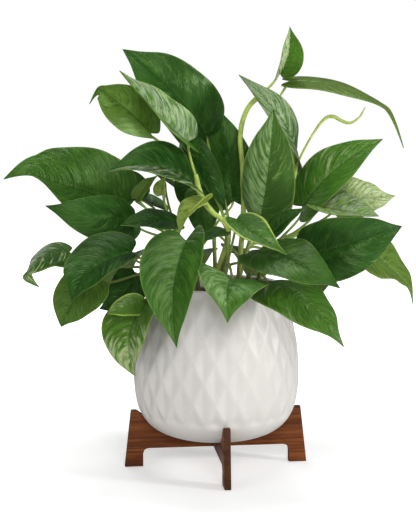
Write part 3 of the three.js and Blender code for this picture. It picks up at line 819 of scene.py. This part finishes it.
# %% [markdown]
# ## Looks of the leaves
# Pothos leaves on one plant differ: old ones are deep green, young ones yellow-green, and some
# are streaked with silver or cream. Each leaf carries its look as attributes of its mesh, and one
# material reads them: `tone` from deep to young green, `olive` for a duller green, `streak` for
# cream (or silver, below zero), `side` and `tip` for streaks that gather on one half or towards
# the tip, `lit` for a half that is painted paler as painted sheen, and `rim` for a pale margin.
# `quilt` is how far the leaf bulges between its side veins, so it is shape and not colour.

# %% Looks of the leaves
LOOK_PARTS = ("tone", "olive", "streak", "side", "tip", "lit", "rim", "seed")


def skin(tone, rim, quilt=0.8, **more):
    return {"tone": tone, "rim": rim, "quilt": quilt, **more}


# Painted sheen: `lit` paints one half of a leaf paler, in the looks that set it.
LOOKS = dict(
    deep=skin(0.08, 0.1, 0.5),
    # Painted shade: this look and `shade` below have tone 0, the darkest green, for leaves deep in the
    # plant's shade.
    night=skin(0, 0.1, 0.7),
    mid=skin(0.22, 0.1, 0.7),
    young=skin(1, 0, 0.5),
    shade=skin(0, 0.1, 0.7, streak=-0.12, tip=0.8),
    fresh=skin(0.3, 0.1, 0.7, olive=0.1, streak=-0.16, tip=1),
    dusky=skin(0.08, 0.1, 0.6, olive=0.1),
    olive=skin(0.48, 0.4, olive=0.7),
    dim_olive=skin(0.2, 0.3, olive=0.35),
    leading=skin(0.23, 0.2, 1.5, lit=0.42),
    lit_left=skin(0.24, 0.3, 1.2, lit=0.8),
    two_tone=skin(0.08, 0.4, 0.5, olive=0.12, lit=-1.3, streak=0.2, side=0.9),
    bright=skin(0.62, 0.3, 0.6, streak=0.22),
    flecked=skin(0.36, 0.2, streak=0.34, side=-0.5),
    rimmed=skin(0.22, 1, streak=0.38),
    gilded=skin(0.52, 1, 0.6, olive=0.2, streak=0.34, side=1),
    cream=skin(0.25, 0.6, streak=0.55),
    half_cream=skin(0.52, 0.6, streak=0.8, side=-1),
    pale=skin(0.78, 0.6, streak=1),
    silver=skin(0.06, 0.3, 1, streak=-0.5, side=-0.6),
    silvered=skin(0.44, 0.5, 1.1, streak=-1, side=0.4),
    silver_tip=skin(0.44, 0.5, 1.2, olive=0.25, streak=0.42, tip=1),
    tipped=skin(0.24, 0.3, streak=-0.9),
    striped=skin(0.68, 0.4, 1, streak=-1, side=-0.15),
)


def paint(obj, material, **look):
    """Gives a mesh its material, and its look as attributes."""
    coat(obj, material)
    for name in LOOK_PARTS:
        set_layer(obj, name, np.full(len(obj.data.vertices), look.get(name, 0.0), np.float32))


print("looks:", ", ".join(LOOKS))

# %% [markdown]
# ## Leaf green
# The upper side is waxy: a soft gloss over a deep green, with a dark line along the midrib that is
# painted shade in its crease, paler green beside it and faint side veins. On some leaves one half
# is painted paler, as painted sheen. Streaks run along the side veins, as each is a line of
# cells that has lost its green, so their noise is drawn out in the same slanted coordinates as
# the veins. The underside is paler and matt.

# %% Places on a leaf
leaf_green, tree, shader, place = new_finish(
    "leaf_green", IOR=1.42, Specular_Tint=(0.55, 0.9, 0.3, 1), Coat_Weight=0.02, Coat_Roughness=0.15
)
u, v, _ = split(put(tree, "UVMap", uv_map="blade").outputs["UV"])
tone, olive, streak, one_sided, to_tip, lit, rim, seed = (painted(tree, name) for name in LOOK_PARTS)
across = line(u, 2.0, -1.0)
half_of = maths("SIGN", across)
share = maths("ABSOLUTE", across)
slant = line(maths("POWER", share, VEIN_CURVE), -VEIN_LEAN, v)
vein = ramp(maths("PINGPONG", times(slant, VEINS), 0.5), 0.0, 0.10, 1.0, 0.0)
seeded = line(half_of, 3.0, times(seed, 37.0))


def along_veins(across_them, along_them, detail=3.0, roughness=0.6):
    """Noise drawn out along the side veins: its frequency across and along them."""
    axes = {"X": times(slant, across_them), "Y": times(share, along_them), "Z": seeded}
    return noise(put(tree, "CombineXYZ", axes).outputs[0], 1.0, detail, roughness)


threads = along_veins(20.0, 1.7, 4.0, 0.65)
ribs = along_veins(42.0, 4.0)
blotch = along_veins(5.0, 2.0, 2.0)
print("noise fields along the veins: 3")

# %% Greens of a leaf
fresh = blend(ramp(tone, 0.45, 1.0), (0.062, 0.178, 0.018), (0.370, 0.480, 0.100))
green = blend(ramp(tone, 0.0, 0.5), (0.006, 0.038, 0.004), fresh)
green = mottled(green, place, 45.0, 0.30)
patch_green = blend(ramp(tone, 0.0, 0.3), (0.036, 0.120, 0.015), (0.080, 0.200, 0.022))
light_patch = ramp(blotch, 0.45, 0.72, 0.0, 0.55)
tipward = ramp(v, 0.5, 1.0, 0.0, 0.5)
light_rib = ramp(threads, 0.50, 0.70, 0.0, 0.45)
for patch in (light_patch, tipward, light_rib):
    green = blend(patch, green, patch_green)
green = blend(olive, green, (0.125, 0.185, 0.036))
# Painted sheen: one half of the leaf is paler between the ribs, fading towards the margin.
painted_sheen_half = maths("MAXIMUM", times(half_of, lit), 0.0)
between_ribs = ramp(threads, 0.40, 0.60, 0.15, 1.0)
inland = ramp(share, 0.50, 0.95, 1.0, 0.25)
green = blend(times(painted_sheen_half, times(between_ribs, inland)), green, (0.215, 0.350, 0.130))
print("greens ready")

# %% Streaks of a leaf
amount = times(maths("ABSOLUTE", streak), line(v, 0.7, 0.6))
amount = times(amount, line(half_of, one_sided, 1.0))
amount = times(amount, maths("MAXIMUM", line(line(v, 4.0, -2.0), to_tip, 1.0), 0.0))
amount = maths("MINIMUM", amount, 1.0)
threshold = line(amount, -0.29, 0.66)
streaked = times(ramp(threads, threshold, maths("ADD", threshold, 0.17)), ramp(amount, 0.0, 0.3, 0.0, 0.9))
cream = blend(ramp(streak, 0.2, 0.6), (0.185, 0.255, 0.075), (0.560, 0.640, 0.350))
pale = blend(ramp(streak, -0.05, 0.05), (0.310, 0.400, 0.230), cream)
green = blend(streaked, green, pale)
dark_rib = times(ramp(ribs, 0.44, 0.66), line(streak, -0.25, 0.5))
green = blend(dark_rib, green, (0.012, 0.042, 0.007))
print("streaks ready")

# %% Veins, margin and underside of a leaf
vein_green = blend(ramp(tone, 0.0, 0.5), (0.030, 0.100, 0.012), (0.15, 0.28, 0.06))
green = blend(times(vein, 0.12), green, vein_green)
green = blend(ramp(share, 0.04, 0.10, 0.25, 0.0), green, vein_green)
# Painted shade: a thin dark line along the midrib, the shade in its crease.
green = blend(ramp(share, 0.006, 0.026, 0.6, 0.0), green, (0.008, 0.030, 0.005))
margin_from = ramp(rim, 0.6, 1.0, 0.94, 0.84)
margin = ramp(share, margin_from, maths("ADD", margin_from, 0.06))
green = blend(times(margin, line(rim, 0.85, 0.08)), green, (0.34, 0.46, 0.09))
under = painted(tree, "under")
below = blend(times(vein, 0.5), (0.076, 0.132, 0.028), (0.12, 0.19, 0.05))
below = blend(ramp(tone, 0.7, 1.0), below, (0.22, 0.30, 0.03))
feed(shader["Base Color"], blend(under, green, below))
print("leaf colour ready")

# %% Gloss and relief of a leaf
feed(shader["Roughness"], ramp(line(ribs, 0.5, under), 0.0, 1.5, 0.28, 0.68))
height = times(noise(place, 700.0, 2.0), 0.12)
for part, weight in ((ribs, -1.6), (blotch, 1.0), (threads, 1.6), (vein, -0.4)):
    height = line(part, weight, height)
bump(shader, times(height, ramp(tone, 0.3, 0.48, 1.0, 0.3)), 0.9, 0.6 * MM)
print("leaf material nodes:", len(tree.nodes))

# %% [markdown]
# Stems and petioles are fresher than the leaves: light green, with fine freckles. Near the soil
# they are painted darker and browner, partly as older stem and partly as painted shade under the leaves.

# %% Stalk green
stalk_green, tree, shader, place = new_finish(
    "stalk_green", Roughness=0.42, IOR=1.36, Specular_Tint=(0.7, 0.9, 0.4, 1)
)
flesh = blend(ramp(painted(tree, "tone"), 0.0, 1.0), (0.070, 0.165, 0.025), (0.45, 0.57, 0.13))
# Darker and browner towards the soil: partly older stem, partly painted shade under the leaves.
low_shade_and_age = ramp(split(place)["Z"], SOIL_TOP, SOIL_TOP + 75 * MM, 0.8, 0.0)
feed(shader["Base Color"], blend(low_shade_and_age, mottled(flesh, place, 110.0, 0.22), (0.10, 0.085, 0.035)))
bump(shader, noise(place, 800.0, 2.0), 0.3, 0.3 * MM)
print("stalk material nodes:", len(tree.nodes))

# %% [markdown]
# ## The table of vines
# Every stem stands at its root in the soil and passes through its points. Each leaf says where its
# petiole leaves the stem (0 at the soil, 1 at the end), its joint and tip, the way it faces, its
# width, its look, and what bends it. The numbers are millimetres and are those of the CAD source,
# so that each dressed vine lies where its solid does.

# %% The table of vines
def leaf(leaves_at, joint, tip, face, width, look, arch, fold, via=None, **bend):
    return leaves_at, LeafForm(joint, tip, face, width, arch, fold, **bend), look, via


def vine(node, root, stem, *leaves, taper=0.7, tone=0.4, rolled=None):
    """Adds a vine. `rolled` is where a rolled leaf starts on the stem, and its points."""
    VINES[node] = dict(root=root, stem=stem, leaves=leaves, taper=taper, tone=tone, rolled=rolled)


VINES = {}
vine("vine_tall_left", (4, 8), [(6, 6, 180), (11, 2, 205), (12, 1, 222)],
    leaf(1, (-9, 14, 304), (-83, -16, 380), (4, -8, 2), 66, "deep", 0.15, 16, sweep=-0.02, twist=-8,
        full=0.35, via=[(9, 0, 239), (2, 3, 262)]),
    leaf(0.9, (-60, 14, 305.5), (-113.5, 4, 349), (2.6, -8, 4.1), 52, "bright", 0.02, 19, sweep=0.05,
        twist=-90, hook=(-1, 0, -17), via=[(0, 12, 245), (-28, 18, 280)]),
    leaf(0.8, (-24, 4, 296), (9, -2, 235), (2, -8, 3), 28, "shade", 0.04, 30,
        via=[(4, 10, 240), (-8, 12, 278)]),
)
vine("vine_striped_left", (-3, -8), [(2, -14, 185), (10, -20, 214), (7, -21, 227), (-4, -24, 237),
     (-12, -26, 248), (-19, -27, 270)],
    leaf(1, (-25, -27, 299), (-83, -56, 360), (6, -5, 5), 47, "silvered", 0.04, 34, sweep=-0.1, twist=5),
    leaf(0.86, (-22, -34, 263), (-92, -68, 275), (3, -6, 8), 56, "silver", 0.16, 24, sweep=0.02),
    leaf(0.74, (-9, -42, 247), (-32, -73, 221), (-5, -5, 7), 28, "young", 0.12, 40),
    taper=0.95, tone=0.75,
)
vine("vine_low_left", (-22, 6), [(-26, 6, 182), (-32, 4, 202)],
    leaf(1, (-83, -2, 242), (-178, -30, 276), (2.7, -8, 5.3), 76, "mid", -0.02, 28, sweep=0.01, twist=50,
        hook=(-10, 0, -10), full=1),
    leaf(0.9, (-73, -31, 231), (-148, -59, 245), (3, -8, 1.3), 44, "deep", 0.15, -10, sweep=-0.06, twist=-31),
    leaf(0.8, (-74, 4, 246), (-87, 6, 275), (2, -8, 3), 34, "mid", 0.1, 14, via=[(-44, 6, 220)]),
    leaf(1, (-72, -6, 247), (-53, -8, 268), (-4, -7, 4), 16, "olive", 0.08, 24, via=[(-52, -4, 226)]),
    leaf(1, (-49, 0, 250), (-46, -8, 267), (-3, -7, 4), 18, "young", 0.1, 30),
)
vine("vine_far_left", (-34, -10), [(-37, -14, 172), (-46, -22, 184)],
    leaf(1, (-73, -66, 205), (-121, -102, 168), (-1.8, -8, 11.5), 54, "night", 0.06, 26, sweep=0.14,
        twist=-19, full=0.5),
    leaf(0.8, (-132, -18, 200), (-172, -36, 175), (-5.9, -8, 8.8), 34, "cream", 0.22, -7, sweep=0.03,
        twist=50, hook=(16, 0, -5), full=1),
    leaf(0.9, (-106, -36, 178), (-138, -36, 135), (-2, -9, 1), 44, "dim_olive", 0.14, 18, sweep=0.06,
        full=0.3),
    leaf(0.7, (-73, -12, 180), (-106, -16, 148), (3, -9, 2), 36, "shade", 0.12, 16, sweep=-0.1),
)
vine("vine_front_left", (-16, -26), [(-17, -28, 176), (-22, -36, 192)],
    leaf(1, (-26, -82, 217), (-33, -126, 133), (-3.8, -8, 5), 68, "leading", 0.11, 30, sweep=0.03, twist=-28,
        full=-0.3, via=[(-24, -60, 214)]),
    leaf(0.9, (-35, -48, 230), (-82, -74, 229), (2, -4, 9), 36, "shade", 0.06, 10),
    leaf(0.7, (-63, -42, 158), (-71, -62, 96), (-8.9, -8, 1.7), 68, "silver_tip", 0.18, 16, sweep=0.03,
        full=0.2, via=[(-40, -44, 186), (-58, -44, 180)]),
    leaf(0.6, (-64, -50, 159), (-94, -69, 152), (4.1, -8, 8.6), 22, "gilded", 0.07, -1, sweep=0.02, twist=26,
        full=0.6, via=[(-46, -38, 184)]),
)
vine("vine_front", (6, -30), [(7, -34, 176), (10, -42, 194)],
    leaf(0.9, (15, -85, 183), (8, -150, 158), (2, -4, 9), 66, "lit_left", 0.2, 16, sweep=0.08, twist=-10),
    leaf(1, (17, -68, 234), (56, -92, 208), (1, -6, 8), 35, "rimmed", 0.08, 20, sweep=0.1, hook=(4, 0, -3)),
    leaf(0.8, (36, -72, 205), (102, -108, 180), (0, -6, 8), 56, "dusky", 0.16, 12, sweep=0.07, twist=15),
    leaf(0.9, (8, -34, 220), (-14, -44, 211), (0, -3, 9), 20, "shade", 0.1, 12),
)
vine("vine_front_right", (26, -20), [(28, -24, 176), (34, -30, 192)],
    leaf(0.8, (49, -72, 181), (105, -116, 132), (3, -5, 8), 66, "fresh", 0.16, -6, sweep=0.06, twist=-10),
    leaf(1, (80, -40, 198), (162, -46, 226), (1.4, -8, 0.6), 57, "shade", 0.15, 17, sweep=-0.01, twist=38,
        full=0.3),
    leaf(0.95, (47, -50, 218), (76, -52, 242), (-2, -6, 8), 24, "deep", 0.06, 24),
)
vine("vine_right", (36, 2), [(40, 0, 178), (48, -6, 198)],
    leaf(1, (78, -5, 240), (148, -18, 301), (-5, -7, 5), 54, "flecked", 0.14, 16, sweep=0.02, twist=16),
    leaf(0.9, (89, -27, 242), (143, -38, 234), (0, -5, 9), 46, "striped", 0.05, 26, sweep=0.06, twist=12),
    leaf(0.9, (114, 8, 247), (163, 4, 249), (0, -8, 11.2), 59, "pale", 0.04, 5, sweep=0.07, twist=-11,
        full=-0.2),
    leaf(0.7, (137, 40, 196), (189, 46, 152), (8.1, -8, 8.5), 57, "olive", 0.01, 13, sweep=-0.13, twist=-28,
        hook=(-1, 0, -9), full=0.3),
)
vine("vine_tall_right", (20, 10), [(22, 12, 190), (25, 14, 230), (24, 15, 276), (22, 16, 300), (24, 18, 316),
     (30, 20, 330), (41, 22, 341)],
    leaf(1, (58, 24, 360), (65, -5, 401), (4.8, -8, -2), 34, "half_cream", 0.07, 33, sweep=0.06, twist=-40,
        full=-0.2),
    leaf(0.55, (68, 22, 353), (164, -8, 319), (11.4, -8, 17.6), 44, "olive", 0.08, 2, sweep=-0.06, twist=-12,
        hook=(4, 0, -26), full=0.3, via=[(44, 28, 300), (54, 28, 330)]),
    leaf(0.25, (39, -20, 230), (49, -42, 328), (-1.8, -8, 1), 50, "two_tone", 0.04, -12, sweep=0.03, twist=54,
        full=0.3),
    leaf(0.4, (74, 27, 278), (20, -2, 358), (8.5, -8, 5.8), 34, "tipped", 0.24, 16, sweep=-0.16, twist=-50,
        full=0.5),
    taper=0.95, tone=0.95,
    rolled=(0.3, [(68, 14, 254), (76, 12, 282), (99, 12, 319), (106, 10, 321), (114, 8, 317), (121, 6, 315),
        (129, 4, 320), (134, 0, 329)]),
)
vine("vine_back", (0, 28), [(-1, 32, 185), (-2, 38, 215)],
    leaf(1, (16, 38, 242), (-1, 36, 332), (1, -9, 2), 54, "deep", 0.08, 12),
    leaf(0.8, (-13, 24, 254), (-11, 18, 206), (0, -9, 2), 34, "deep", 0.08, 10, via=[(-6, 34, 232)]),
    leaf(0.9, (-20, 32, 263), (-30, 28, 235), (-1, -7, 5), 34, "shade", 0.1, 10, via=[(-6, 36, 245)]),
    leaf(1, (-4, 80, 270), (-20, 118, 342), (-1, 8, 3), 60, "mid", 0.14, 14),
    leaf(0.9, (-24, 66, 188), (-32, 134, 138), (-1, 5, 8), 60, "shade", 0.2, 14),
    leaf(0.9, (28, 64, 189), (41, 150, 137), (2, 5, 8), 58, "shade", 0.2, 12),
)
vine("vine_back_left", (-20, 24), [(-24, 30, 180), (-32, 40, 200)],
    leaf(1, (-60, 70, 235), (-140, 115, 235), (-1, 3, 9), 64, "mid", 0.14, 14),
    leaf(0.95, (-48, 56, 260), (-98, 84, 272), (-2, 4, 8), 52, "silver", 0.14, 12),
    leaf(0.8, (-78, 62, 190), (-104, 102, 132), (-5, 6, 5), 56, "bright", 0.18, 14),
)
vine("vine_back_right", (20, 28), [(25, 34, 182), (32, 42, 204)],
    leaf(1, (60, 60, 240), (125, 110, 240), (2, 4, 9), 60, "mid", 0.14, 14),
    leaf(0.85, (70, 60, 205), (150, 95, 190), (3, 4, 8), 58, "bright", 0.16, 12),
    leaf(0.95, (50, 70, 262), (64, 118, 324), (2, 8, 4), 56, "deep", 0.14, 14),
    leaf(0.8, (80, 70, 185), (100, 120, 130), (4, 6, 5), 56, "cream", 0.18, 12),
)
print("leaves:", sum(len(row["leaves"]) for row in VINES.values()))

# %% [markdown]
# ## Growing the vines
# For each vine a stem is drawn, then for each of its leaves a petiole and a bent copy of the
# blade, and they are joined into one piece that stands for the vine's CAD node. A petiole is a
# little swollen where it sheathes the stem and where it turns to hold its leaf, and runs on under
# the blade as the keel of the midrib.

# %% Growing one leaf
PETIOLE_RADIUS = 1.4 * MM
# The keel's points: the share of the midrib, how far below it (mm), and the share of the groove.
KEEL = ((-0.02, 1.5, 0), (0.1, 0.9, 0.8), (0.3, 0.6, 1), (0.6, 0.35, 1))
KEEL_RADII = (0.8 * MM, 0.55 * MM, 0.2 * MM)


def petiole(start, stemwards, form, via):
    """The stalk of a leaf, from the stem to a little way under the blade."""
    keel = [form.midrib(t) - form.axes(t)[0] * (d * MM + k * GROOVE * 2 * form.half) for t, d, k in KEEL]
    end = keel[0]
    span = np.linalg.norm(end - start)
    if via:
        path = catmull([start, *np.array(via) * MM, end])
    else:
        below = end - np.array([0, 0, 0.25 * span])
        path = bezier([start, start + stemwards * 0.3 * span, below, end], np.linspace(0, 1, 60))
    shares = np.linspace(0, 1, 24)
    swell = 1 - 0.3 * shares + 0.25 * bell(shares, 0.08) + 0.22 * bell(shares - 0.96, 0.05)
    return stalk([*spaced(path, shares), *keel[1:]], [*(PETIOLE_RADIUS * swell), *KEEL_RADII])


def bent_blade(form, quilting, dice):
    """A copy of the flat blade, bent to a leaf."""
    obj = new_object("leaf", blade.data.copy())
    obj.data.vertices.foreach_set("co", leaf_points(form, quilting, dice).astype(np.float32).ravel())
    set_layer(obj, "under", (flat[:, 2] < 0).astype(np.float32))
    obj.data.update()
    edit(obj, "SELECT")
    bpy.ops.mesh.remove_doubles(threshold=0.02 * MM)
    bpy.ops.mesh.normals_make_consistent()
    leave_edit()
    return obj


def rolled_leaf(stem, leaves_at, points):
    """A young leaf, still rolled into a slim spindle on its petiole."""
    start = spaced(stem, [leaves_at])[0]
    shares = np.linspace(0, 1, 90)
    girth = np.where(shares < 0.97, 1 - 0.45 * shares + 0.55 * bell(shares - 0.80, 0.10), (1.04 - shares) * 8)
    obj = stalk(spaced(catmull([start, *np.array(points) * MM]), shares), PETIOLE_RADIUS * girth)
    paint(obj, stalk_green, tone=0.9)
    return obj


print("leaf parts ready")

# %% Growing the vines
VINE_SEED = 11
STEM_RADIUS = 2.4 * MM
STEM_FOOT = 0.96  # the stem's girth at the soil, of its radius
LAST_KNOT = 0.98
HOLE_BOTTOM = SOIL_TOP - 31 * MM
STRAIGHT = (SOIL_TOP - 2.4 * MM, SOIL_TOP + 1.6 * MM)  # where a stem is upright, through the soil's top


def grow(dice, root, stem, leaves, taper, tone, rolled):
    """The parts of one leafy stem."""
    x, y = np.array(root) * MM
    path = catmull([*([x, y, z] for z in STRAIGHT), *np.array(stem) * MM])
    shares = np.linspace(0, 1, 12 * len(stem))
    knots = [min(leaves_at, LAST_KNOT) for leaves_at, *_ in leaves]
    radii = STEM_RADIUS * (STEM_FOOT + (taper - STEM_FOOT) * shares)
    radii *= 1 + 0.14 * sum(bell(shares - k, 0.03) for k in knots).clip(0, 1)
    made = [stalk([(x, y, HOLE_BOTTOM), *spaced(path, shares)], [STEM_RADIUS, *radii])]
    paint(made[0], stalk_green, tone=tone)
    for at, (_, form, look, via) in zip(knots, leaves):
        start, nearby = spaced(path, [at, at + 0.01])
        holder = petiole(start, unit(nearby - start), form, via)
        paint(holder, stalk_green, tone=tone + dice.uniform(-0.1, 0.25))
        upper = bent_blade(form, QUILTING * LOOKS[look]["quilt"], dice)
        paint(upper, leaf_green, seed=dice.random(), **LOOKS[look])
        made += [holder, upper]
    if rolled:
        made.append(rolled_leaf(path, *rolled))
    return made


dice = random.Random(VINE_SEED)
for node, row in VINES.items():
    pick(*grow(dice, **row))
    bpy.ops.object.join()
    piece = bpy.context.object
    smooth(piece, 50)
    end_piece(piece, node + "_leaves", "leaf", node)
bpy.data.objects.remove(blade)

# %% [markdown]
# ## Floor and light
# The photograph is a studio shot on white. A wide pale floor takes the soft shadow and a bright
# even surround fills. A large soft light in front shows the foliage, one above gives its gloss, a
# small one from the right shades the facets, and weaker ones fill from the left and from behind.

# %% Floor
bpy.ops.mesh.primitive_circle_add(vertices=96, radius=6, fill_type="NGON", location=(0, 0, -0.2 * MM))
floor = tune(bpy.context.object, name="studio_floor")
paper, tree, shader, place = new_finish(
    "studio_paper", Roughness=0.9, Base_Color=(0.93, 0.93, 0.93, 1), Specular_IOR_Level=0.1,
    Emission_Color=(1, 1, 1, 1),
)
away = put(tree, "VectorMath", {0: place}, operation="LENGTH").outputs["Value"]
seen = put(tree, "LightPath").outputs["Is Camera Ray"]
feed(shader["Emission Strength"], times(seen, ramp(away, 0.08, 0.6, 0.34, 1.0)))
coat(floor, paper)
print("floor ready")

# %% Lights
def soft_light(name, place, size, watts, aim=0.2):
    """A square light that looks at a height above the middle of the floor."""
    lamp = tune(bpy.data.lights.new(name, "AREA"), energy=watts, size=size)
    turn = (Vector((0, 0, aim)) - Vector(place)).to_track_quat("-Z", "Y").to_euler()
    tune(new_object(name, lamp), location=place, rotation_euler=turn)


soft_light("key", (0.15, -1.50, 0.75), 0.7, 13)
soft_light("side", (1.35, -0.50, 0.45), 0.20, 10, 0.15)
soft_light("top", (0.1, 0.2, 1.6), 0.8, 13)
soft_light("fill", (-1.1, -1.2, 0.4), 0.7, 4.5)
soft_light("back", (-0.6, 1.5, 0.7), 0.9, 6)
scene.world = world = bpy.data.worlds.new("surround")
world.use_nodes = True
surround = world.node_tree.nodes["Background"].inputs
seen = put(world.node_tree, "LightPath").outputs["Is Camera Ray"]
feed(surround["Strength"], ramp(seen, 0.0, 1.0, 0.12, 1.0))
feed(surround["Color"], (1, 1, 1, 1))
scene.view_settings.view_transform = "Standard"
